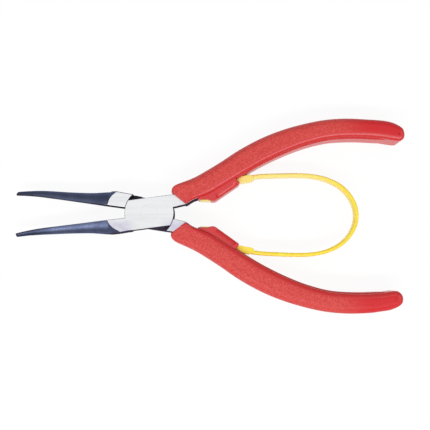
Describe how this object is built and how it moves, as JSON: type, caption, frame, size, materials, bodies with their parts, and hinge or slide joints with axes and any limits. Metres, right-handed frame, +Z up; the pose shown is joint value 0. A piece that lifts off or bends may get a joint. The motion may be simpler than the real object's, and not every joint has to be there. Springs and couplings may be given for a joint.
{
  "type": "flat nose pliers",
  "caption": "Small spring-return flat nose pliers: two lapped steel halves with long tapering jaws on a flush rivet, curved moulded grips and a bowed plastic leaf spring.",
  "frame": {"origin": "bottom centre of the bounding box, with the pliers lying flat on their grips and open as far as the relaxed spring holds them", "axes": "+X from the jaws to the handles, +Y to the handle of the front half, +Z up along the pivot axis, out of the front plate"},
  "size_m": [0.1466, 0.0732, 0.012],
  "materials": {
    "tool_steel": "polished at the joint, blued to black on the jaws and the edges",
    "rivet_steel": "ground flush and polished with the plates",
    "grip_vinyl": "soft red vinyl with a fine leathery grain, smooth along the edges",
    "spring_plastic": "smooth yellow moulded plastic"
  },
  "bodies": {
    "front": {"front_half": "tool_steel", "pivot_rivet": "rivet_steel", "upper_grip": "grip_vinyl", "return_spring": "spring_plastic"},
    "back": {"back_half": "tool_steel", "lower_grip": "grip_vinyl"}
  },
  "joints": [
    {"name": "pivot", "type": "hinge", "parent": "front", "child": "back", "pos_m": [-0.02263, 0, 0.006], "axis": [0, 0, 1], "range_deg": [-5, 16.2], "stiffness_Nm_per_rad": 0.8, "deforming": ["return_spring"]}
  ]
}
